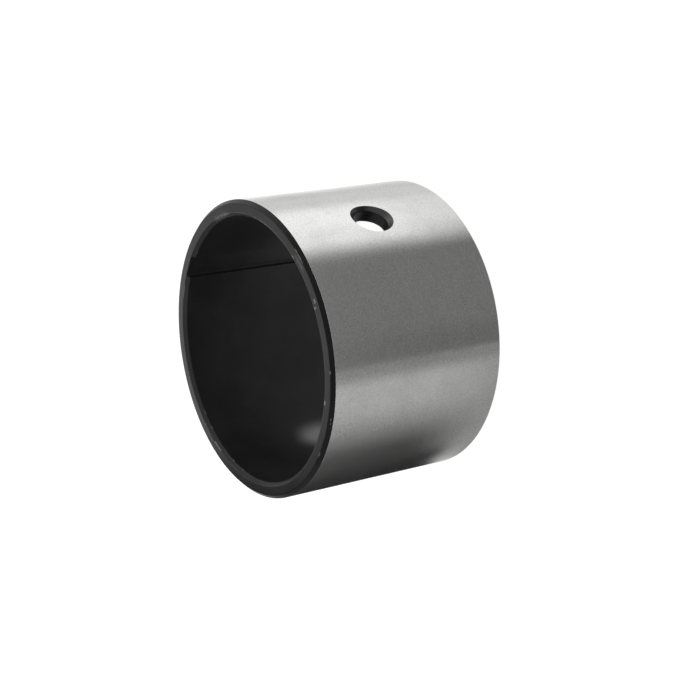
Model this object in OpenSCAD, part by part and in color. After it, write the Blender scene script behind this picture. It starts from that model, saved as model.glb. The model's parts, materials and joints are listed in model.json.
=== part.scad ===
// Bearing sleeve for an 80 mm shaft, turned and ground from one length of steel tube.
// The bore's axis is Z. The plain end rests on Z = 0 and the chamfered lead end is on top.
// The oil hole points along +X, and the oil groove runs the whole length of the bore.

/* [Body] */
// Diameter of the bore, with running clearance on an 80 mm shaft
bore_d = 80.2; // [60:0.1:120]
// Thickness of the wall between the bore and the ground outside
wall_t = 4.9; // [3.5:0.1:12]
// Length from end to end
length = 59.4; // [35:0.1:120]

/* [Ends] */
// Width of the 45 degree lead chamfer on the outside, at the top end
lead_chamfer = 1.1; // [0.4:0.1:2]
// Width of the 45 degree edge break on the outside, at the plain end
edge_break = 0.3; // [0.1:0.1:1]
// Width of the 45 degree chamfer on the bore, at both ends
bore_chamfer = 1; // [0.3:0.1:1.8]

/* [Oil hole] */
// Diameter of the drilled hole
oil_hole_d = 10.5; // [4:0.5:12]
// Distance of the hole's axis below the middle of the length
oil_hole_drop = 0.6; // [0:0.1:6]
// Diameter of the countersink where it meets the outside
countersink_d = 13.4; // [11:0.1:17]
// Included angle of the countersink
countersink_angle = 90; // [75:5:120]

/* [Oil groove] */
// Width of the groove along the bore
groove_w = 8; // [4:0.5:14]
// Depth of the groove's flat floor below the bore
groove_depth = 0.85; // [0.4:0.05:2]
// Radius in the corners of the groove's floor
groove_corner_r = 0.8; // [0.1:0.1:0.9]
// Angle from the oil hole round to the middle of the groove
groove_angle = 89; // [40:1:180]

/* [Hidden] */

bore_r = bore_d / 2;
outside_r = bore_r + wall_t;
oil_hole_z = length / 2 - oil_hole_drop;
groove_floor_x = bore_r + groove_depth;
// How far each cutter starts clear of the surface that it opens
cutter_past = 2;
steel = [0.62, 0.62, 0.63];
$fn = 128;

// Half section of the turned body, with all four end edges
module body_section() {
    polygon([
        [bore_r + bore_chamfer, 0],
        [outside_r - edge_break, 0],
        [outside_r, edge_break],
        [outside_r, length - lead_chamfer],
        [outside_r - lead_chamfer, length],
        [bore_r + bore_chamfer, length],
        [bore_r, length - bore_chamfer],
        [bore_r, bore_chamfer]
    ]);
}

// Drill and countersink, standing on the bore's axis and pointing along +X
module oil_hole_cutter() {
    cone_slope = tan(countersink_angle / 2);
    cone_depth = countersink_d / 2 / cone_slope;
    translate([0, 0, oil_hole_z]) rotate([0, 90, 0]) {
        cylinder(h = outside_r + cutter_past, d = oil_hole_d);
        translate([0, 0, outside_r - cone_depth])
            cylinder(h = cone_depth + cutter_past, r1 = 0, r2 = (cone_depth + cutter_past) * cone_slope);
    }
}

// Section of the groove, with a flat floor, parallel walls and round corners
module groove_section() {
    groove_mouth_x = bore_r - cutter_past;
    corner_x = groove_floor_x - groove_corner_r;
    corner_y = groove_w / 2 - groove_corner_r;
    translate([groove_mouth_x, -groove_w / 2])
        square([corner_x - groove_mouth_x, groove_w]);
    translate([groove_mouth_x, -corner_y])
        square([groove_floor_x - groove_mouth_x, 2 * corner_y]);
    for (side = [-1, 1])
        translate([corner_x, side * corner_y])
            circle(r = groove_corner_r);
}

module oil_groove_cutter() {
    rotate([0, 0, groove_angle])
        translate([0, 0, -cutter_past])
            linear_extrude(height = length + 2 * cutter_past)
                groove_section();
}

module sleeve() {
    color(steel)
        difference() {
            rotate_extrude() body_section();
            oil_hole_cutter();
            oil_groove_cutter();
        }
}

sleeve();
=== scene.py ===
"""Looks of a bearing sleeve for an 80 mm shaft, in a plain pale studio.

The sleeve stands on its plain end. Its outside is ground bright, and its bore, ends, chamfers,
oil hole and oil groove keep the dark skin of heat treatment. The bore's finish, which the groove
and the hole's wall share, holds painted shade as well. All sizes in this file are in
millimetres and turn into metres by MM. Angles round the sleeve start at the oil hole, on +X.
"""
import json
import logging
import math
from collections.abc import Callable, Sequence
from dataclasses import dataclass, field
from enum import Enum

import bmesh
import bpy
import numpy as np
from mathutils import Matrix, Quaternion, Vector


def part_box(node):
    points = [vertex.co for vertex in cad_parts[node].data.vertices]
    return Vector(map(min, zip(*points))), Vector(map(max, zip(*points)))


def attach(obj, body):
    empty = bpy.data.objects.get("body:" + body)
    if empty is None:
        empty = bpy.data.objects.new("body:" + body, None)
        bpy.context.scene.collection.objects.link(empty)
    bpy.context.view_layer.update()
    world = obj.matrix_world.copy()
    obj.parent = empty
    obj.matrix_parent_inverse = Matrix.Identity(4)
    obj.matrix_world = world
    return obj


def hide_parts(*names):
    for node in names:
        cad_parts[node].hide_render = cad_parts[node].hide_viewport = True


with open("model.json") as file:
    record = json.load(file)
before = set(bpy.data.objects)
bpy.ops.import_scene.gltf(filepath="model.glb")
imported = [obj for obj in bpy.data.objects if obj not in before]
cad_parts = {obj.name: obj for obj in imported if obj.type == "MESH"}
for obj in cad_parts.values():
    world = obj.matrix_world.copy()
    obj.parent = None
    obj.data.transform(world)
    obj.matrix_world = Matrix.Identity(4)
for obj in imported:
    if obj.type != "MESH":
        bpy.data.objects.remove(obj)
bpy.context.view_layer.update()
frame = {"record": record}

MM = 0.001
NEAR = 0.01  # a point within this many millimetres of a place counts as being there
log = logging.getLogger("bearing_sleeve")


# Small tools


def linear(hex_colour: str) -> tuple[float, float, float, float]:
    """Turns an sRGB hex colour into Blender's linear colour.

    Args:
        hex_colour: The colour as "#RRGGBB".

    Returns:
        Red, green, blue and an alpha of 1, in linear light.
    """
    shares = [int(hex_colour[i:i + 2], 16) / 255 for i in (1, 3, 5)]
    light = [s / 12.92 if s <= 0.04045 else ((s + 0.055) / 1.055) ** 2.4 for s in shares]
    return (light[0], light[1], light[2], 1.0)


def add_node(tree: bpy.types.NodeTree, kind: str, inputs: dict | None = None,
             **settings: object) -> bpy.types.Node:
    """Adds one node with its settings, values and links.

    Args:
        tree: The node tree that gets the node.
        kind: The node's type, such as "ShaderNodeMath".
        inputs: What each input gets, by name or number: an output to link, or a value to set.
        settings: The node's own properties, by name.

    Returns:
        The new node.
    """
    node = tree.nodes.new(kind)
    for name, value in settings.items():
        setattr(node, name, value)
    for name, value in (inputs or {}).items():
        if isinstance(value, bpy.types.NodeSocket):
            tree.links.new(value, node.inputs[name])
        else:
            node.inputs[name].default_value = value
    return node


def activate(obj: bpy.types.Object) -> None:
    """Selects one object alone and makes it the active one.

    Args:
        obj: The object to work on.
    """
    bpy.ops.object.select_all(action="DESELECT")
    obj.select_set(True)
    bpy.context.view_layer.objects.active = obj


class Element(Enum):
    """What a mesh is made of, in the order of Blender's select modes."""

    VERTEX = "verts"
    EDGE = "edges"
    FACE = "faces"


def pick(obj: bpy.types.Object, kind: Element, test: Callable[..., bool]) -> None:
    """Selects the vertices, edges or faces that pass a test, in edit mode.

    Args:
        obj: The object in edit mode.
        kind: Which kind of element is picked.
        test: Says whether an element is picked.
    """
    bpy.ops.mesh.select_all(action="DESELECT")
    bpy.context.tool_settings.mesh_select_mode = tuple(kind is each for each in Element)
    shape = bmesh.from_edit_mesh(obj.data)
    for item in getattr(shape, kind.value):
        if test(item):
            item.select_set(True)
    shape.select_flush_mode()
    bmesh.update_edit_mesh(obj.data)


def settle(obj: bpy.types.Object) -> None:
    """Puts an object's place, turn and scale into its mesh.

    Args:
        obj: The object to settle.
    """
    activate(obj)
    bpy.ops.object.transform_apply(location=True, rotation=True, scale=True)


def along(angle_deg: float, radius: float, height: float = 0.0) -> Vector:
    """A point at an angle round the sleeve, a radius from its axis and a height, all in millimetres.

    Args:
        angle_deg: Angle from the oil hole, in degrees.
        radius: Distance from the axis.
        height: Height above the floor.

    Returns:
        The point in metres.
    """
    angle = math.radians(angle_deg)
    return Vector((radius * math.cos(angle), radius * math.sin(angle), height)) * MM


def wrapped(angle_deg: np.ndarray | float) -> np.ndarray | float:
    """An angle, or an array of them, brought between -180 and 180 degrees."""
    return (angle_deg + 180) % 360 - 180


def smooth_step(share: np.ndarray | float) -> np.ndarray | float:
    """A soft rise from 0 to 1 as the share goes from 0 to 1."""
    held = np.clip(share, 0, 1)
    return held * held * (3 - 2 * held)


# Finishes


class Surface(Enum):
    """The sleeve's surfaces, in the order of its material slots.

    Each value names the surface's material, for its steel and how it was worked, and the bore's
    for its painted shade too. The bore's chamfers, the oil groove and the oil hole's wall share the
    bore's material.
    """

    OUTSIDE = "bright_ground_steel"
    BORE = "heat_darkened_bored_steel"
    END = "dull_faced_steel"
    CHAMFER = "heat_darkened_turned_steel"
    COUNTERSINK = "dull_countersunk_steel"


KNOCKS_AND_HIGHLIGHTS = "bare_spots"
CARD_TONE = "card_tone"


@dataclass(frozen=True)
class GroundSteel:
    """Hardened bearing steel, ground bright between centres.

    It is a neutral white metal. The wheel leaves fine lines round it, which smear what it
    mirrors along the sleeve but not round it. Handling leaves faint smudges and a few dark specks.
    """

    colour: str = "#E7E7E6"
    smudge_colour: str = "#DFDFDD"
    clean_roughness: float = 0.17
    smudged_roughness: float = 0.20
    smear: float = 0.75
    smear_turn: float = 0.25  # a quarter turn, from round the sleeve to along it
    line_spacing: float = 0.5  # real lines are about 0.05 mm apart, too fine to show, so drawn coarser
    line_length: float = 40.0
    line_depth: float = 0.0012
    line_shade: float = 0.05
    grain_size: float = 0.5
    grain_shade: float = 0.24
    smudge_size: float = 9.0
    smudge_start: float = 0.40  # the noise at which a smudge starts
    smudge_full: float = 0.70  # and at which it is full
    speck_spacing: float = 5.5
    speck_size: float = 0.28
    speck_core: float = 0.5  # the share of a speck that is fully dark
    speck_shade: float = 0.6

    def make(self) -> bpy.types.Material:
        """Makes the material.

        Returns:
            The material of the ground outside.
        """
        material = bpy.data.materials.new(Surface.OUTSIDE.value)
        material.use_nodes = True
        tree = material.node_tree
        surface = tree.nodes["Principled BSDF"]
        surface.inputs["Metallic"].default_value = 1.0
        surface.inputs["Anisotropic"].default_value = self.smear
        surface.inputs["Anisotropic Rotation"].default_value = self.smear_turn
        round_axis = add_node(tree, "ShaderNodeTangent", direction_type="RADIAL", axis="Z").outputs[0]
        place = add_node(tree, "ShaderNodeTexCoord").outputs["Object"]
        across = 1 / (self.line_length * MM)
        stretched = add_node(tree, "ShaderNodeVectorMath", {
            0: place, 1: (across, across, 1 / (self.line_spacing * MM))}, operation="MULTIPLY").outputs[0]
        lines = add_node(tree, "ShaderNodeTexNoise", {
            "Vector": stretched, "Scale": 1.0, "Detail": 3.0, "Roughness": 0.6}).outputs["Fac"]
        grain = add_node(tree, "ShaderNodeTexNoise", {
            "Vector": place, "Scale": 1 / (self.grain_size * MM), "Detail": 2.0}).outputs["Fac"]
        smudges = add_node(tree, "ShaderNodeTexNoise", {
            "Vector": place, "Scale": 1 / (self.smudge_size * MM), "Detail": 4.0, "Roughness": 0.55,
            "Distortion": 0.6}).outputs["Fac"]
        smudge = add_node(tree, "ShaderNodeMapRange", {
            "Value": smudges, "From Min": self.smudge_start, "From Max": self.smudge_full},
            interpolation_type="SMOOTHSTEP").outputs[0]
        clouded = add_node(tree, "ShaderNodeMix", {
            "Factor": smudge, "A": linear(self.colour), "B": linear(self.smudge_colour)},
            data_type="RGBA").outputs[2]
        cells = add_node(tree, "ShaderNodeTexVoronoi", {
            "Vector": place, "Scale": 1 / (self.speck_spacing * MM)})
        speck_reach = self.speck_size / self.speck_spacing
        speck = add_node(tree, "ShaderNodeMapRange", {
            "Value": cells.outputs["Distance"], "From Min": self.speck_core * speck_reach,
            "From Max": speck_reach, "To Min": self.speck_shade, "To Max": 1.0}).outputs[0]
        lined = add_node(tree, "ShaderNodeMapRange", {
            "Value": lines, "To Min": 1 - self.line_shade, "To Max": 1 + self.line_shade}).outputs[0]
        grained = add_node(tree, "ShaderNodeMapRange", {
            "Value": grain, "To Min": 1 - self.grain_shade, "To Max": 1 + self.grain_shade}).outputs[0]
        worked = add_node(tree, "ShaderNodeMath", {0: lined, 1: grained}, operation="MULTIPLY").outputs[0]
        shade = add_node(tree, "ShaderNodeMath", {0: worked, 1: speck}, operation="MULTIPLY").outputs[0]
        colour = add_node(tree, "ShaderNodeVectorMath", {0: clouded, "Scale": shade},
                          operation="SCALE").outputs[0]
        rough = add_node(tree, "ShaderNodeMapRange", {
            "Value": smudge, "To Min": self.clean_roughness, "To Max": self.smudged_roughness}).outputs[0]
        bump = add_node(tree, "ShaderNodeBump", {
            "Strength": 1.0, "Distance": self.line_depth * MM, "Height": lines}).outputs[0]
        tree.links.new(colour, surface.inputs["Base Color"])
        tree.links.new(rough, surface.inputs["Roughness"])
        tree.links.new(bump, surface.inputs["Normal"])
        tree.links.new(round_axis, surface.inputs["Tangent"])
        return material


@dataclass(frozen=True)
class DarkenedSteel:
    """Steel that keeps the dark oxide of its heat treatment, as turned or drilled.

    The oxide is thin, near black and half dull. Turning lines run round the axis under it. Along
    the edges it is painted lighter, partly where knocks took the dark skin off and partly as painted
    highlights where an edge catches the light. A thicker, duller oxide is less metallic; in the
    bore it also holds painted shade.
    """

    surface: Surface
    # The colour defaults are the bore's near black, which holds painted shade as well as oxide
    colour: str = "#242424"
    worn_colour: str = "#2A2A2A"
    # The colour of knocked steel, which also paints the highlights along edges that catch the light
    knock_and_highlight_colour: str = "#8F8F8D"
    metallic: float = 1.0
    specular_level: float = 0.5
    roughness: float = 0.36
    worn_roughness: float = 0.40
    knock_and_highlight_roughness: float = 0.34
    line_spacing: float = 0.5  # real lines are about 0.15 mm apart, too fine to show, so drawn coarser
    line_length: float = 9.0
    line_depth: float = 0.003
    mottle_size: float = 12.0
    mottle_start: float = 0.35  # the noise at which the worn colour starts
    mottle_full: float = 0.70  # and at which it is full
    fleck_size: float = 0.5
    knock_and_highlight_start: float = 0.85  # a spot's strength and the fleck noise together, where the knocked metal and the painted highlight start
    knock_and_highlight_full: float = 1.35  # and where it is full

    def make(self) -> bpy.types.Material:
        """Makes the material.

        Returns:
            The material of one dark surface.
        """
        material = bpy.data.materials.new(self.surface.value)
        material.use_nodes = True
        tree = material.node_tree
        surface = tree.nodes["Principled BSDF"]
        surface.inputs["Metallic"].default_value = self.metallic
        surface.inputs["Specular IOR Level"].default_value = self.specular_level
        place = add_node(tree, "ShaderNodeTexCoord").outputs["Object"]
        parts = add_node(tree, "ShaderNodeSeparateXYZ", {0: place}).outputs
        flat = add_node(tree, "ShaderNodeCombineXYZ", {"X": parts["X"], "Y": parts["Y"]}).outputs[0]
        radius = add_node(tree, "ShaderNodeVectorMath", {0: flat}, operation="LENGTH").outputs["Value"]
        height_lines = add_node(tree, "ShaderNodeMath", {
            0: parts["Z"], 1: 1 / (self.line_spacing * MM)}, operation="MULTIPLY").outputs[0]
        radius_lines = add_node(tree, "ShaderNodeMath", {
            0: radius, 1: 1 / (self.line_spacing * MM)}, operation="MULTIPLY").outputs[0]
        turned = add_node(tree, "ShaderNodeVectorMath", {
            0: flat, "Scale": 1 / (self.line_length * MM)}, operation="SCALE").outputs[0]
        turned_parts = add_node(tree, "ShaderNodeSeparateXYZ", {0: turned}).outputs
        line_place = add_node(tree, "ShaderNodeMath", {0: height_lines, 1: radius_lines},
                              operation="ADD").outputs[0]
        line_vector = add_node(tree, "ShaderNodeCombineXYZ", {
            "X": turned_parts["X"], "Y": turned_parts["Y"], "Z": line_place}).outputs[0]
        lines = add_node(tree, "ShaderNodeTexNoise", {
            "Vector": line_vector, "Scale": 1.0, "Detail": 2.0, "Roughness": 0.6}).outputs["Fac"]
        mottles = add_node(tree, "ShaderNodeTexNoise", {
            "Vector": place, "Scale": 1 / (self.mottle_size * MM), "Detail": 5.0,
            "Roughness": 0.6}).outputs["Fac"]
        mottle = add_node(tree, "ShaderNodeMapRange", {
            "Value": mottles, "From Min": self.mottle_start, "From Max": self.mottle_full},
            interpolation_type="SMOOTHSTEP").outputs[0]
        skin = add_node(tree, "ShaderNodeMix", {
            "Factor": mottle, "A": linear(self.colour), "B": linear(self.worn_colour)},
            data_type="RGBA").outputs[2]
        flecks = add_node(tree, "ShaderNodeTexNoise", {
            "Vector": place, "Scale": 1 / (self.fleck_size * MM), "Detail": 3.0,
            "Roughness": 0.7}).outputs["Fac"]
        # Edge spots painted lighter: knocks, and painted highlights where edges catch the light
        spots = add_node(tree, "ShaderNodeAttribute", attribute_name=KNOCKS_AND_HIGHLIGHTS).outputs["Fac"]
        raised = add_node(tree, "ShaderNodeMath", {0: spots, 1: flecks}, operation="ADD").outputs[0]
        knock_and_highlight = add_node(tree, "ShaderNodeMapRange", {
            "Value": raised, "From Min": self.knock_and_highlight_start, "From Max": self.knock_and_highlight_full},
            interpolation_type="SMOOTHSTEP").outputs[0]
        colour = add_node(tree, "ShaderNodeMix", {
            "Factor": knock_and_highlight, "A": skin, "B": linear(self.knock_and_highlight_colour)}, data_type="RGBA").outputs[2]
        skin_rough = add_node(tree, "ShaderNodeMapRange", {
            "Value": mottle, "To Min": self.roughness, "To Max": self.worn_roughness}).outputs[0]
        rough = add_node(tree, "ShaderNodeMix", {
            "Factor": knock_and_highlight, "A": skin_rough, "B": self.knock_and_highlight_roughness}, data_type="FLOAT").outputs[0]
        bump = add_node(tree, "ShaderNodeBump", {
            "Strength": 1.0, "Distance": self.line_depth * MM, "Height": lines}).outputs[0]
        if self.metallic < 1:
            metal = add_node(tree, "ShaderNodeMix", {
                "Factor": knock_and_highlight, "A": self.metallic, "B": 1.0}, data_type="FLOAT").outputs[0]
            tree.links.new(metal, surface.inputs["Metallic"])
        tree.links.new(colour, surface.inputs["Base Color"])
        tree.links.new(rough, surface.inputs["Roughness"])
        tree.links.new(bump, surface.inputs["Normal"])
        return material


def sleeve_finishes() -> list[bpy.types.Material]:
    """Makes the sleeve's materials.

    Returns:
        One material for each surface, in the order of Surface.
    """
    finishes = (
        GroundSteel(),
        # A thicker oxide with painted shade of the deep bore: an even near black that mirrors little
        DarkenedSteel(Surface.BORE, metallic=0.3, specular_level=0.1),
        # A thin oxide over a faced end, dark grey, which mirrors softly
        DarkenedSteel(Surface.END, colour="#404040", worn_colour="#454545",
                      roughness=0.30, worn_roughness=0.34),
        # The darkest skin, close to black
        DarkenedSteel(Surface.CHAMFER, colour="#1B1B1B", worn_colour="#202020"),
        # A thin oxide over the countersink, dark grey and a little rougher than the end
        DarkenedSteel(Surface.COUNTERSINK, colour="#3C3C3C", worn_colour="#444444",
                      roughness=0.32, worn_roughness=0.36),
    )
    return [finish.make() for finish in finishes]


# The sleeve


SLOPE_LIMIT = math.pi / 8  # half way from a level or an upright face to one at 45 degrees
UPRIGHT_NORMAL = 0.001  # the most that the normal of an upright wall rises or falls
ROUND_NORMAL = 0.9999  # the least share of a round wall's normal that points at or from the axis
ON_WALL = 0.002  # a corner within this many millimetres of a round wall's radius lies on it
REACH_END = 1.2  # an edge spot is full up to 0.2 of its reach, and ends at this many times it
SPAN_END = 1.5  # it is full up to 0.5 of its half span, and ends at this many times it
DARK_MARGIN = 0.02  # no spot shows on the bore's wall, or within this many millimetres of it


class Edge(Enum):
    """The circles at the lead end that carry knocks and painted highlights."""

    FACE_INNER = "face to bore chamfer"
    FACE_OUTER = "face to lead chamfer"
    FACE_MIDDLE = "middle of the face"
    BORE_LIP = "bore chamfer to bore"
    LEAD = "middle of the lead chamfer"


@dataclass(frozen=True)
class KnockAndHighlight:
    """A stretch of an edge painted lighter, for knocks that took the dark skin off and for painted
    highlights where the edge catches the light.

    It lies at an angle round the sleeve and spans half_span_deg to each side. Its reach is in
    millimetres from the edge, and its strength is from 0 to 1.
    """

    edge: Edge
    angle_deg: float
    half_span_deg: float
    reach: float
    strength: float


# Knocks on the lead end's edges, and painted highlights where they catch the light, such as the light lines
# along the face's inner edge
EDGE_KNOCKS_AND_HIGHLIGHTS = (
    KnockAndHighlight(Edge.FACE_INNER, 31.0, 9.0, 0.30, 0.42),
    KnockAndHighlight(Edge.FACE_INNER, 20.8, 0.8, 0.45, 0.66),
    KnockAndHighlight(Edge.FACE_INNER, 8.7, 13.5, 0.35, 0.62),
    KnockAndHighlight(Edge.FACE_INNER, -10.4, 1.0, 0.60, 0.92),
    KnockAndHighlight(Edge.FACE_OUTER, -12.8, 4.0, 0.40, 0.60),
    KnockAndHighlight(Edge.FACE_MIDDLE, -15.0, 5.0, 1.10, 0.50),
    KnockAndHighlight(Edge.FACE_MIDDLE, -31.4, 1.2, 1.10, 0.66),
    KnockAndHighlight(Edge.FACE_INNER, -33.8, 0.6, 2.30, 0.82),
    KnockAndHighlight(Edge.FACE_OUTER, -58.6, 0.8, 0.45, 0.64),
    KnockAndHighlight(Edge.FACE_INNER, -71.4, 1.0, 1.20, 0.95),
    KnockAndHighlight(Edge.LEAD, -77.3, 1.5, 0.50, 0.50),
    KnockAndHighlight(Edge.FACE_OUTER, -93.3, 1.6, 0.35, 0.60),
    KnockAndHighlight(Edge.FACE_INNER, -122.3, 3.5, 0.20, 0.40),
    KnockAndHighlight(Edge.FACE_INNER, -168.8, 5.0, 0.22, 0.50),
    KnockAndHighlight(Edge.FACE_INNER, 177.3, 4.0, 0.30, 0.66),
    KnockAndHighlight(Edge.FACE_INNER, 164.6, 0.7, 0.35, 0.55),
    KnockAndHighlight(Edge.FACE_INNER, 102.2, 4.0, 0.30, 0.52),
    KnockAndHighlight(Edge.FACE_INNER, 49.0, 7.0, 1.70, 0.50),
    KnockAndHighlight(Edge.FACE_INNER, 44.0, 3.2, 0.60, 0.60),
    KnockAndHighlight(Edge.BORE_LIP, -162.8, 0.8, 0.30, 0.60),
    KnockAndHighlight(Edge.BORE_LIP, -170.8, 0.8, 0.30, 0.60),
    KnockAndHighlight(Edge.BORE_LIP, 167.7, 0.8, 0.30, 0.60),
    KnockAndHighlight(Edge.BORE_LIP, 159.2, 1.6, 0.35, 0.60),
    KnockAndHighlight(Edge.BORE_LIP, 80.2, 0.8, 0.30, 0.55),
    KnockAndHighlight(Edge.BORE_LIP, 67.7, 4.5, 0.25, 0.50),
)


@dataclass
class OilHole:
    """The drilled and countersunk oil hole in the middle of the sleeve's wall, along +X."""

    radius: float
    height: float
    outside_r: float
    bore_r: float
    countersink_r: float = 6.7
    blend: float = 0.12
    blend_steps: int = 3
    past_bore: float = 8.0
    past_outside: float = 2.0
    wall_normal: float = 0.3  # a face whose normal leans less than this along the drill is its wall
    end_normal: float = 0.9  # and one that leans more than this is its flat end
    sides: int = 128

    def cutter(self, wall_finish: bpy.types.Material, cone_finish: bpy.types.Material) -> bpy.types.Object:
        """Models the drill and countersink as one turned cutter.

        Args:
            wall_finish: The material that the drilled wall gets.
            cone_finish: The material that the countersink gets.

        Returns:
            The cutter.
        """
        start = self.bore_r - self.past_bore
        cone_start = self.outside_r - (self.countersink_r - self.radius)
        cone_end = self.outside_r + self.past_outside
        bpy.ops.mesh.primitive_cylinder_add(
            vertices=self.sides, radius=self.radius * MM, depth=(cone_start - start) * MM,
            location=Vector(((start + cone_start) / 2, 0, self.height)) * MM, rotation=(0, math.pi / 2, 0))
        cutter = bpy.context.active_object
        cutter.data.materials.append(wall_finish)
        cutter.data.materials.append(cone_finish)
        settle(cutter)
        bpy.ops.object.mode_set(mode="EDIT")
        pick(cutter, Element.FACE, lambda face: face.normal.x > self.end_normal)
        bpy.ops.mesh.extrude_region_move(
            TRANSFORM_OT_translate={"value": ((cone_end - cone_start) * MM, 0, 0)})
        growth = (self.radius + cone_end - cone_start) / self.radius
        bpy.ops.transform.resize(
            value=(1, growth, growth), center_override=Vector((cone_end, 0, self.height)) * MM)
        pick(cutter, Element.EDGE, lambda edge: all(
            abs(vert.co.x / MM - cone_start) < NEAR for vert in edge.verts))
        bpy.ops.mesh.bevel(offset=self.blend * MM, segments=self.blend_steps, affect="EDGES")
        bpy.ops.object.mode_set(mode="OBJECT")
        for polygon in cutter.data.polygons:
            polygon.material_index = int(self.wall_normal < abs(polygon.normal.x) < self.end_normal)
        return cutter


@dataclass
class OilGroove:
    """The straight oil groove that a broach leaves along the whole bore."""

    bore_r: float
    length: float
    width: float = 8.0
    depth: float = 0.85
    corner_r: float = 0.8
    corner_steps: int = 6
    angle_deg: float = 89.0
    past: float = 2.0

    def cutter(self, finish: bpy.types.Material) -> bpy.types.Object:
        """Models the broach's tooth as a bar with a round-cornered floor.

        Args:
            finish: The material that the cut surfaces get.

        Returns:
            The cutter.
        """
        inner = self.bore_r - self.past
        floor = self.bore_r + self.depth
        bpy.ops.mesh.primitive_cube_add(
            size=1, location=along(self.angle_deg, (inner + floor) / 2, self.length / 2),
            rotation=(0, 0, math.radians(self.angle_deg)),
            scale=Vector((floor - inner, self.width, self.length + 2 * self.past)) * MM)
        cutter = bpy.context.active_object
        cutter.data.materials.append(finish)
        settle(cutter)
        outward = along(self.angle_deg, 1) / MM
        bpy.ops.object.mode_set(mode="EDIT")
        pick(cutter, Element.EDGE, lambda edge: (
            all(vert.co.dot(outward) / MM > floor - NEAR for vert in edge.verts)
            and abs(edge.verts[0].co.z - edge.verts[1].co.z) > self.length * MM))
        bpy.ops.mesh.bevel(offset=self.corner_r * MM, segments=self.corner_steps, affect="EDGES")
        bpy.ops.object.mode_set(mode="OBJECT")
        return cutter


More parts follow.
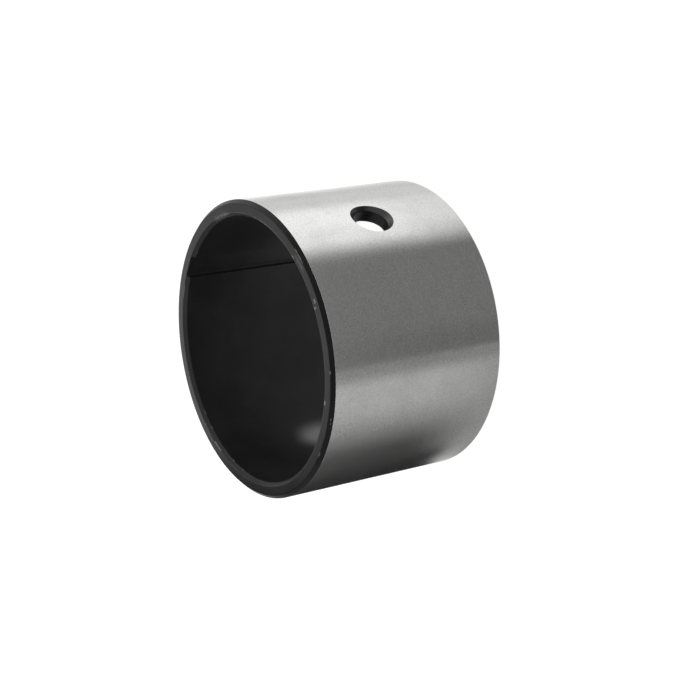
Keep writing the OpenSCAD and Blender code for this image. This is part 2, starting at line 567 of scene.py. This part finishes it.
@dataclass
class BearingSleeve:
    """The sleeve: one length of steel tube, turned, drilled, broached, hardened and ground."""

    outside_r: float
    bore_r: float
    length: float
    hole_r: float
    hole_z: float
    lead_chamfer: float = 1.1
    edge_break: float = 0.3
    bore_chamfer: float = 1.0
    edge_blend: float = 0.08
    blend_steps: int = 3
    round_steps: int = 640
    merge_gap: float = 0.001
    smooth_angle_deg: float = 28.0
    face_weight: int = 100  # the most, so that the large faces set the normals
    wall_cuts: int = 15
    end_cuts: int = 7
    chamfer_cuts: int = 3
    spots: Sequence[KnockAndHighlight] = EDGE_KNOCKS_AND_HIGHLIGHTS
    finishes: list[bpy.types.Material] = field(default_factory=list)

    @classmethod
    def from_frame(cls) -> "BearingSleeve":
        """Reads the sleeve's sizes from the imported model.

        Returns:
            A sleeve of those sizes.
        """
        low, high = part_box("sleeve")
        mounts = {mount["name"]: mount for mount in frame["record"]["mounts"]}
        hole = mounts["oil_hole"]
        return cls(
            outside_r=high.x / MM,
            bore_r=mounts["bore"]["dims"]["r_mm"],
            length=(high.z - low.z) / MM,
            hole_r=hole["dims"]["r_mm"],
            hole_z=hole["pos_m"][2] / MM)

    def build(self) -> bpy.types.Object:
        """Models the sleeve.

        Returns:
            The finished piece.
        """
        self.finishes = sleeve_finishes()
        piece = self.turn_wall_section()
        self.spin_section(piece)
        self.assign_finishes(piece)
        dull = self.finishes[list(Surface).index(Surface.COUNTERSINK)]
        dark = self.finishes[list(Surface).index(Surface.BORE)]
        hole = OilHole(self.hole_r, self.hole_z, self.outside_r, self.bore_r)
        groove = OilGroove(self.bore_r, self.length)
        self.cut(piece, hole.cutter(dark, dull))
        self.cut(piece, groove.cutter(dark))
        self.smooth(piece)
        self.mark_knocks_and_highlights(piece)
        return piece

    def turn_wall_section(self) -> bpy.types.Object:
        """Models the outline of the tube's wall, with its chamfers, on the plane through the axis.

        Returns:
            The outline, as a closed loop of edges.
        """
        wall = self.outside_r - self.bore_r
        bpy.ops.object.select_all(action="DESELECT")
        bpy.ops.mesh.primitive_plane_add(
            size=1, location=along(0, self.bore_r + wall / 2, self.length / 2),
            rotation=(math.pi / 2, 0, 0))
        piece = bpy.context.active_object
        piece.name = piece.data.name = "bearing_sleeve"
        piece.scale = Vector((wall, self.length, 1)) * MM
        settle(piece)
        corners = (
            (self.bore_r, 0.0, self.bore_chamfer),
            (self.bore_r, self.length, self.bore_chamfer),
            (self.outside_r, 0.0, self.edge_break),
            (self.outside_r, self.length, self.lead_chamfer),
        )
        bpy.ops.object.mode_set(mode="EDIT")
        for radius, height, chamfer in corners:
            corner = along(0, radius, height)
            pick(piece, Element.VERTEX, lambda vert: (vert.co - corner).length < NEAR * MM)
            bpy.ops.mesh.bevel(offset=chamfer * MM, segments=1, affect="VERTICES")
        bpy.ops.mesh.select_all(action="SELECT")
        bpy.ops.mesh.bevel(offset=self.edge_blend * MM, segments=self.blend_steps, affect="VERTICES")
        bpy.ops.mesh.select_all(action="SELECT")
        bpy.ops.mesh.delete(type="ONLY_FACE")
        self.divide_outline(piece)
        bpy.ops.object.mode_set(mode="OBJECT")
        return piece

    def divide_outline(self, piece: bpy.types.Object) -> None:
        """Adds points along the outline, so that the spun faces stay short.

        Args:
            piece: The outline in edit mode.
        """
        wall = self.outside_r - self.bore_r
        groups = (
            (0.5 * self.edge_break, 0.5 * wall, self.chamfer_cuts),
            (0.5 * wall, wall, self.end_cuts),
            (0.5 * self.length, self.length, self.wall_cuts),
        )
        for shortest, longest, cuts in groups:
            pick(piece, Element.EDGE, lambda edge: shortest < edge.calc_length() / MM <= longest)
            bpy.ops.mesh.subdivide(number_cuts=cuts)

    def spin_section(self, piece: bpy.types.Object) -> None:
        """Spins the outline round the axis into the closed ring.

        Args:
            piece: The outline.
        """
        turn = piece.modifiers.new("turn", "SCREW")
        turn.axis = "Z"
        turn.angle = math.tau
        turn.screw_offset = 0
        turn.steps = turn.render_steps = self.round_steps
        turn.use_merge_vertices = True
        turn.merge_threshold = self.merge_gap * MM
        activate(piece)
        bpy.ops.object.modifier_apply(modifier=turn.name)
        bpy.ops.object.mode_set(mode="EDIT")
        bpy.ops.mesh.select_all(action="SELECT")
        bpy.ops.mesh.normals_make_consistent(inside=False)
        bpy.ops.object.mode_set(mode="OBJECT")

    def assign_finishes(self, piece: bpy.types.Object) -> None:
        """Gives each turned surface its material, by the way that it faces.

        Args:
            piece: The ring.
        """
        slots = {surface: index for index, surface in enumerate(Surface)}
        for finish in self.finishes:
            piece.data.materials.append(finish)
        for polygon in piece.data.polygons:
            outward = polygon.center.xy.dot(polygon.normal.xy) > 0
            steepness = abs(polygon.normal.z)
            if steepness > math.cos(SLOPE_LIMIT):
                surface = Surface.END
            elif outward and steepness > math.sin(SLOPE_LIMIT):
                surface = Surface.CHAMFER
            else:
                surface = Surface.OUTSIDE if outward else Surface.BORE
            polygon.material_index = slots[surface]

    def cut(self, piece: bpy.types.Object, cutter: bpy.types.Object) -> None:
        """Cuts one tool out of the sleeve. The cut surfaces keep the tool's material.

        Args:
            piece: The sleeve.
            cutter: The tool, which is deleted.
        """
        modifier = piece.modifiers.new("cut", "BOOLEAN")
        modifier.operation = "DIFFERENCE"
        modifier.solver = "EXACT"
        modifier.material_mode = "TRANSFER"
        modifier.object = cutter
        activate(piece)
        bpy.ops.object.modifier_apply(modifier=modifier.name)
        bpy.data.objects.remove(cutter)

    def smooth(self, piece: bpy.types.Object) -> None:
        """Shades the sleeve smooth, with true round normals on its outside and bore.

        Args:
            piece: The sleeve.
        """
        activate(piece)
        bpy.ops.object.shade_smooth_by_angle(angle=math.radians(self.smooth_angle_deg))
        weighted = piece.modifiers.new("weighted", "WEIGHTED_NORMAL")
        weighted.keep_sharp = True
        weighted.weight = self.face_weight
        bpy.ops.object.modifier_apply(modifier=weighted.name)
        mesh = piece.data
        normals = [Vector(corner.vector) for corner in mesh.corner_normals]
        walls = (self.outside_r, self.bore_r)
        for polygon in mesh.polygons:
            if abs(polygon.normal.z) > UPRIGHT_NORMAL:
                continue
            facing = polygon.normal.xy.dot(polygon.center.xy.normalized())
            if abs(facing) < ROUND_NORMAL:
                continue
            for loop in polygon.loop_indices:
                point = mesh.vertices[mesh.loops[loop].vertex_index].co
                if min(abs(point.xy.length - wall_r * MM) for wall_r in walls) < ON_WALL * MM:
                    normals[loop] = Vector((point.x, point.y, 0)).normalized() * math.copysign(1, facing)
        mesh.normals_split_custom_set(normals)

    def mark_knocks_and_highlights(self, piece: bpy.types.Object) -> None:
        """Writes how much each point of the lead end is painted lighter, for knocks and for painted
        highlights, for the dark finishes to read.

        Args:
            piece: The sleeve.
        """
        mesh = piece.data
        points = np.empty(len(mesh.vertices) * 3)
        mesh.vertices.foreach_get("co", points)
        x, y, z = points.reshape(-1, 3).T / MM
        radius = np.hypot(x, y)
        angle = np.degrees(np.arctan2(y, x))
        face_inner = self.bore_r + self.bore_chamfer
        face_outer = self.outside_r - self.lead_chamfer
        edges = {
            Edge.FACE_INNER: (face_inner, self.length),
            Edge.FACE_OUTER: (face_outer, self.length),
            Edge.FACE_MIDDLE: ((face_inner + face_outer) / 2, self.length),
            Edge.BORE_LIP: (self.bore_r, self.length - self.bore_chamfer),
            Edge.LEAD: (self.outside_r - self.lead_chamfer / 2, self.length - self.lead_chamfer / 2),
        }
        # How much each point is painted lighter, as a knock and as a painted highlight
        knock_and_highlight = np.zeros(len(mesh.vertices))
        for spot in self.spots:
            edge_r, edge_z = edges[spot.edge]
            away = np.hypot(radius - edge_r, z - edge_z)
            near = smooth_step(REACH_END - away / spot.reach)
            inside = smooth_step(SPAN_END - np.abs(wrapped(angle - spot.angle_deg)) / spot.half_span_deg)
            knock_and_highlight = np.maximum(knock_and_highlight, spot.strength * near * inside)
        knock_and_highlight[radius < self.bore_r + DARK_MARGIN] = 0
        attribute = mesh.attributes.new(KNOCKS_AND_HIGHLIGHTS, "FLOAT", "POINT")
        attribute.data.foreach_set("value", knock_and_highlight.astype(np.float32))

    def dress(self, piece: bpy.types.Object) -> None:
        """Puts the sleeve in the frame: hangs it from the root body and hides the sleeve part that it stands
        for.

        Args:
            piece: The sleeve.
        """
        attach(piece, "root")
        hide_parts("sleeve")


# The studio


@dataclass(frozen=True)
class StudioCamera:
    """The camera at the photograph's viewing angle.

    It is rolled so that the sleeve's axis lies across the picture.
    """

    place: tuple[float, float, float] = (299.95, -305.38, 299.36)
    target: tuple[float, float, float] = (-1.89, -5.44, 25.82)
    roll_deg: float = -100.22
    lens: float = 84.61
    sensor: float = 36.0
    nearest: float = 10.0
    farthest: float = 10000.0

    def build(self) -> bpy.types.Object:
        """Adds the camera and makes it the scene's camera.

        Returns:
            The camera.
        """
        data = bpy.data.cameras.new("studio_camera")
        data.lens = self.lens
        data.sensor_width = self.sensor
        data.clip_start = self.nearest * MM
        data.clip_end = self.farthest * MM
        camera = bpy.data.objects.new("studio_camera", data)
        bpy.context.scene.collection.objects.link(camera)
        camera.location = Vector(self.place) * MM
        aim = (Vector(self.target) - Vector(self.place)).to_track_quat("-Z", "Y")
        camera.rotation_mode = "QUATERNION"
        camera.rotation_quaternion = aim @ Quaternion((0, 0, 1), math.radians(self.roll_deg))
        bpy.context.scene.camera = camera
        return camera


def seen_directly(tree: bpy.types.NodeTree) -> bpy.types.NodeSocket:
    """Says whether a ray comes from the camera, a reflection or through glass.

    Args:
        tree: The node tree of a background.

    Returns:
        An output that is 1 for such a ray and 0 for soft bounced light.
    """
    path = add_node(tree, "ShaderNodeLightPath").outputs
    first = add_node(tree, "ShaderNodeMath", {
        0: path["Is Camera Ray"], 1: path["Is Glossy Ray"]}, operation="MAXIMUM").outputs[0]
    return add_node(tree, "ShaderNodeMath", {
        0: first, 1: path["Is Transmission Ray"]}, operation="MAXIMUM").outputs[0]


@dataclass(frozen=True)
class PaleStudio:
    """The floor, the backdrop and the softbox."""

    floor_size: float = 6000.0
    floor_glow: float = 0.86
    floor_shade: float = 0.20
    floor_bounce: float = 0.75
    world_light: float = 0.55
    lamp_height: float = 900.0
    lamp_size: float = 700.0
    lamp_power: float = 9.0

    def build(self) -> None:
        """Builds the floor, the backdrop and the softbox."""
        self.add_floor()
        self.set_backdrop()
        self.add_softbox()

    def add_floor(self) -> None:
        """Adds the pale floor, which glows to the camera and still takes the sleeve's soft shadow."""
        bpy.ops.object.select_all(action="DESELECT")
        bpy.ops.mesh.primitive_plane_add(size=self.floor_size * MM)
        floor = bpy.context.active_object
        floor.name = "pale_floor"
        material = bpy.data.materials.new("matt_white_sweep")
        material.use_nodes = True
        material.cycles.emission_sampling = "NONE"
        tree = material.node_tree
        tree.nodes.clear()
        seen = seen_directly(tree)
        glow = add_node(tree, "ShaderNodeMath", {
            0: seen, 1: self.floor_glow}, operation="MULTIPLY").outputs[0]
        emission = add_node(tree, "ShaderNodeEmission", {
            "Color": linear("#FFFFFF"), "Strength": glow}).outputs[0]
        shade = add_node(tree, "ShaderNodeMix", {
            "Factor": seen, "A": self.floor_bounce, "B": self.floor_shade}, data_type="FLOAT").outputs[0]
        paint = add_node(tree, "ShaderNodeCombineColor", {0: shade, 1: shade, 2: shade}).outputs[0]
        diffuse = add_node(tree, "ShaderNodeBsdfDiffuse", {"Color": paint}).outputs[0]
        both = add_node(tree, "ShaderNodeAddShader", {0: emission, 1: diffuse}).outputs[0]
        add_node(tree, "ShaderNodeOutputMaterial", {"Surface": both})
        floor.data.materials.append(material)

    def set_backdrop(self) -> None:
        """Makes the world white to the camera and to reflections, and a plain soft light to all else."""
        world = bpy.data.worlds.new("white_backdrop")
        bpy.context.scene.world = world
        world.use_nodes = True
        world.cycles.sampling_method = "NONE"
        tree = world.node_tree
        seen = seen_directly(tree)
        strength = add_node(tree, "ShaderNodeMix", {
            "Factor": seen, "A": self.world_light, "B": 1.0}, data_type="FLOAT").outputs[0]
        background = tree.nodes["Background"]
        background.inputs["Color"].default_value = linear("#FFFFFF")
        tree.links.new(strength, background.inputs["Strength"])

    def add_softbox(self) -> None:
        """Adds the wide softbox overhead."""
        data = bpy.data.lights.new("overhead_softbox", "AREA")
        data.shape = "SQUARE"
        data.size = self.lamp_size * MM
        data.energy = self.lamp_power
        lamp = bpy.data.objects.new("overhead_softbox", data)
        bpy.context.scene.collection.objects.link(lamp)
        lamp.location = Vector((0, 0, self.lamp_height)) * MM
        lamp.visible_glossy = False


@dataclass(frozen=True)
class Band:
    """A painted stretch of the floor sweep, between two angles round the sleeve.

    Its tone sets in over start_feather_deg and ends over end_feather_deg. Away from the sleeve's
    foot it sets in over a ramp, after a gap. Gap and ramp are given for both ends of the stretch.
    """

    name: str
    from_deg: float
    to_deg: float
    tone: float
    start_feather_deg: float = 1.0
    end_feather_deg: float = 1.0
    gap: tuple[float, float] = (-2.0, -2.0)
    ramp: tuple[float, float] = (1.0, 1.0)

    def cover(self, angles: np.ndarray, steps: np.ndarray) -> np.ndarray:
        """How much of the band's tone lies at each angle and distance.

        Args:
            angles: Angles round the sleeve, in degrees.
            steps: Distances from the foot, in millimetres.

        Returns:
            The cover from 0 to 1, for arrays that broadcast together.
        """
        share = np.clip((self.from_deg - angles) / (self.from_deg - self.to_deg), 0, 1)
        edges = (smooth_step((self.from_deg - angles) / self.start_feather_deg)
                 * smooth_step((angles - self.to_deg) / self.end_feather_deg))
        gap = self.gap[0] + share * (self.gap[1] - self.gap[0])
        ramp = self.ramp[0] + share * (self.ramp[1] - self.ramp[0])
        return edges * smooth_step((steps - gap) / ramp)


@dataclass(frozen=True)
class FloorSweep:
    """A painted studio sweep laid on the floor round the sleeve's foot, which the outside mirrors.

    It is ruled by the way that the camera's view leaves the outside, so a band that mirrors one
    angle runs straight along the sleeve. Past the sleeve's limb the rulings follow its tangent.
    Only reflections see it.
    """

    from_deg: float = 42.0
    to_deg: float = -172.0
    turn_step_deg: float = 0.5
    inside: float = 0.5
    reach: float = 220.0
    reach_steps: int = 40
    layer: float = 0.04  # its height above the floor where it starts, which doubles to where it ends
    foot_tone: float = 0.82
    far_tone: float = 1.05
    tone_ramp: float = 50.0
    bands: Sequence[Band] = ()

    def build(self, sleeve: BearingSleeve, camera: StudioCamera) -> bpy.types.Object:
        """Makes the sweep.

        Args:
            sleeve: The sleeve that it lies round.
            camera: The camera whose view it is ruled for.

        Returns:
            The sweep.
        """
        turns = round((self.from_deg - self.to_deg) / self.turn_step_deg) + 1
        angles = np.linspace(self.from_deg, self.to_deg, turns)
        steps = self.reach * np.linspace(0, 1, self.reach_steps) ** 2 - self.inside
        points = []
        for share, angle in zip(np.linspace(1, 2, turns), angles):
            foot = along(angle, sleeve.outside_r, self.layer * share)
            leave = self.ruling(foot.xy, Vector(camera.place).xy * MM)
            points.extend(foot + leave.to_3d() * step * MM for step in steps)
        tones = self.foot_tone + (self.far_tone - self.foot_tone) * smooth_step(steps / self.tone_ramp)
        tones = np.tile(tones, (turns, 1))
        for band in self.bands:
            cover = band.cover(angles[:, None], steps[None, :])
            tones = tones + cover * (band.tone - tones)
        return painted_card("floor_sweep", points, tones)

    @staticmethod
    def ruling(foot: Vector, eye: Vector) -> Vector:
        """The way that a view leaves the outside, seen from above.

        Args:
            foot: Where the view meets the outside.
            eye: Where the camera is.

        Returns:
            The mirrored way, or the tangent where the outside faces away from the camera.
        """
        look = (foot - eye).normalized()
        normal = foot.normalized()
        if look.dot(normal) < 0:
            return look.reflect(normal).normalized()
        tangent = Vector((-normal.y, normal.x))
        return tangent * math.copysign(1, tangent.dot(look))


SWEEP_BANDS = (
    Band("limb_edge", 60.0, 33.0, 0.88, 1.0, 4.0),
    Band("pale_stripe", 34.2, 6.2, 0.70, 8.0, 8.0),
    Band("pale_core", 28.0, 18.0, 0.63, 5.0, 6.0),
    Band("wall_edge", -2.0, -30.0, 0.66, 9.0),
    Band("wall_edge_far", -2.0, -30.0, 1.03, 9.0, gap=(0.0, 0.0), ramp=(45.0, 45.0)),
    Band("wall_start", -5.5, -40.0, 0.22, 26.0, 10.0, gap=(18.0, 18.0), ramp=(20.0, 20.0)),
    Band("grey_wall", -8.4, -180.0, 0.182, 11.0),
    Band("grey_wall_lead", -17.0, -58.0, 0.162, 8.0, 8.0, gap=(40.0, 40.0), ramp=(50.0, 50.0)),
    Band("grey_wall_foot", -45.0, -58.0, 0.155, 9.0),
    Band("grey_step", -57.7, -180.0, 0.25, 1.5),
    Band("light_wall", -60.6, -180.0, 0.46, 6.0, gap=(-36.0, -36.0), ramp=(82.0, 82.0)),
    Band("white_foot", -112.0, -180.0, 0.85, 22.0),
    Band("dark_flag", -70.3, -114.0, 0.055, 28.0, 8.0, gap=(-26.0, 0.0), ramp=(70.0, 40.0)),
    Band("corner_flag", -98.0, -180.0, 0.045, 12.0, gap=(9.0, 11.0), ramp=(14.0, 12.0)),
    Band("limb_flag", -116.0, -180.0, 0.045, 6.0, gap=(4.0, 4.0), ramp=(14.0, 14.0)),
    Band("black_flag", -96.0, -180.0, 0.02, 23.0, gap=(8.0, 12.0), ramp=(30.0, 12.0)),
    Band("far_light", 60.0, -200.0, 0.75, gap=(140.0, 140.0), ramp=(75.0, 75.0)),
    Band("back_light", -131.0, -200.0, 0.92, 18.0),
)


@dataclass(frozen=True)
class FaceCard:
    """A card that stands behind the sleeve, high up, where the lead end's flat face mirrors it.

    It darkens upwards and dims to one side. On the other side it ends in a black stretch, whose
    edge slants below black_edge_height. Only reflections see it.
    """

    stand_deg: float = 135.0
    distance: float = 120.0
    low: float = 62.0
    high: float = 280.0
    left: float = -170.0
    right: float = 130.0
    tone: float = 1.05
    top_tone: float = 0.62
    fade_from: float = 85.0
    fade_to: float = 175.0
    black_edge: float = -42.0
    black_edge_height: float = 142.0
    black_slant: float = 0.31
    black_feather: float = 14.0
    dim_edge: float = 30.0
    dim_feather: float = 30.0
    dim_share: float = 0.68
    black_tone: float = 0.10
    cells: int = 60

    def build(self) -> bpy.types.Object:
        """Makes the card.

        Returns:
            The card.
        """
        sides = np.linspace(self.left, self.right, self.cells)
        heights = np.linspace(self.low, self.high, self.cells)
        middle = along(self.stand_deg, self.distance)
        sideways = along(self.stand_deg - 90, 1)
        points = [middle + sideways * side + Vector((0, 0, height * MM))
                  for side in sides for height in heights]
        rise = smooth_step((heights - self.fade_from) / (self.fade_to - self.fade_from))
        dim = 1 - (1 - self.dim_share) * smooth_step((sides - self.dim_edge) / self.dim_feather)
        tones = dim[:, None] * (self.tone + (self.top_tone - self.tone) * rise)[None, :]
        edge = self.black_edge + self.black_slant * np.clip(self.black_edge_height - heights, 0, None)
        black = smooth_step((edge[None, :] - sides[:, None]) / self.black_feather)
        return painted_card("face_card", points, tones + black * (self.black_tone - tones))


def painted_card(name: str, points: Sequence[Vector], tones: np.ndarray) -> bpy.types.Object:
    """Makes a painted studio card from a grid of points.

    Args:
        name: The card's name.
        points: The grid's points, row by row, in metres.
        tones: How light each point is, one row for each row of points.

    Returns:
        The card, which only reflections see.
    """
    rows, columns = tones.shape
    corners = [row * columns + column for row in range(rows - 1) for column in range(columns - 1)]
    faces = [(corner, corner + 1, corner + columns + 1, corner + columns) for corner in corners]
    mesh = bpy.data.meshes.new(name)
    mesh.from_pydata(points, [], faces)
    attribute = mesh.attributes.new(CARD_TONE, "FLOAT", "POINT")
    attribute.data.foreach_set("value", tones.astype(np.float32).ravel())
    mesh.materials.append(card_paint(name))
    card = bpy.data.objects.new(name, mesh)
    bpy.context.scene.collection.objects.link(card)
    card.visible_camera = False
    card.visible_diffuse = False
    card.visible_shadow = False
    card.visible_transmission = False
    card.visible_volume_scatter = False
    return card


def card_paint(name: str) -> bpy.types.Material:
    """Makes a card's paint, as light as its tone says.

    Args:
        name: The card's name.

    Returns:
        The material.
    """
    material = bpy.data.materials.new(name)
    material.use_nodes = True
    material.cycles.emission_sampling = "NONE"
    tree = material.node_tree
    tree.nodes.clear()
    tone = add_node(tree, "ShaderNodeAttribute", attribute_name=CARD_TONE).outputs["Fac"]
    paint = add_node(tree, "ShaderNodeEmission", {"Strength": tone}).outputs[0]
    add_node(tree, "ShaderNodeOutputMaterial", {"Surface": paint})
    return material


@dataclass(frozen=True)
class TallCard:
    """An upright card with soft sides and a soft top, dark or lit, which level and steep faces mirror.

    Its tone sets in over foot_share of its height, and by side_slope and top_slope from its sides
    and its top. Only reflections see it.
    """

    stand_deg: float
    distance: float = 650.0
    width: float = 620.0
    low: float = 0.0
    high: float = 330.0
    foot_share: float = 0.01
    side_slope: float = 1.2
    top_slope: float = 2.0
    middle_tone: float = 0.22
    edge_tone: float = 1.0
    cells: int = 40

    def build(self) -> bpy.types.Object:
        """Makes the card.

        Returns:
            The card.
        """
        sides = np.linspace(-1, 1, self.cells)
        rises = np.linspace(0, 1, self.cells)
        middle = along(self.stand_deg, self.distance, self.low)
        sideways = along(self.stand_deg - 90, self.width / 2)
        upward = Vector((0, 0, (self.high - self.low) * MM))
        points = [middle + sideways * side + upward * rise for side in sides for rise in rises]
        upright = smooth_step(rises / self.foot_share) * smooth_step(self.top_slope - rises * self.top_slope)
        across = smooth_step(self.side_slope - np.abs(sides) * self.side_slope)
        cover = across[:, None] * upright[None, :]
        tones = self.edge_tone + cover * (self.middle_tone - self.edge_tone)
        return painted_card("tall_card", points, tones)


TALL_CARDS = (
    TallCard(-60.0),
    TallCard(62.0, width=1150.0, low=90.0, high=850.0, foot_share=0.15, middle_tone=2.1),
    TallCard(172.0, width=750.0, middle_tone=0.05),
)


@dataclass(frozen=True)
class HoleLamp:
    """A small lamp in the mouth of the oil hole, for the daylight that falls through it onto the bore."""

    out: float = 1.0
    spot_deg: float = -175.5
    spot_height: float = 23.0
    spot_radius: float = 10.5
    spot_narrowness: float = 0.6
    power: float = 2.15
    size: float = 6.0

    def build(self, sleeve: BearingSleeve) -> bpy.types.Object:
        """Adds the lamp. No surface mirrors it.

        Args:
            sleeve: The sleeve whose oil hole it shines through.

        Returns:
            The lamp.
        """
        place = Vector((sleeve.outside_r + self.out, 0, sleeve.hole_z)) * MM
        aim = along(self.spot_deg, sleeve.bore_r, self.spot_height) - place
        data = bpy.data.lights.new("hole_lamp", "SPOT")
        data.energy = self.power
        data.shadow_soft_size = self.size / 2 * MM
        data.spot_size = 2 * math.atan(self.spot_radius * MM / aim.length)
        data.spot_blend = 1.0
        lamp = bpy.data.objects.new("hole_lamp", data)
        bpy.context.scene.collection.objects.link(lamp)
        lamp.location = place
        lamp.rotation_mode = "QUATERNION"
        lamp.rotation_quaternion = aim.to_track_quat("-Z", "Y")
        lamp.scale = (self.spot_narrowness, 1, 1)
        lamp.visible_glossy = False
        return lamp


def main() -> None:
    """Builds the scene: the camera, the sleeve and the studio."""
    logging.basicConfig(level=logging.INFO, format="%(name)s: %(message)s")
    bpy.context.scene.view_settings.view_transform = "Standard"
    camera = StudioCamera()
    log.info("camera %s", camera.build().name)
    sleeve = BearingSleeve.from_frame()
    piece = sleeve.build()
    sleeve.dress(piece)
    log.info("piece %s: %d faces", piece.name, len(piece.data.polygons))
    PaleStudio().build()
    log.info("floor, backdrop and softbox in place")
    cards = [FloorSweep(bands=SWEEP_BANDS).build(sleeve, camera), FaceCard().build()]
    cards.extend(tall_card.build() for tall_card in TALL_CARDS)
    for card in cards:
        log.info("card %s", card.name)
    log.info("lamp %s", HoleLamp().build(sleeve).name)


if __name__ == "__main__":
    main()
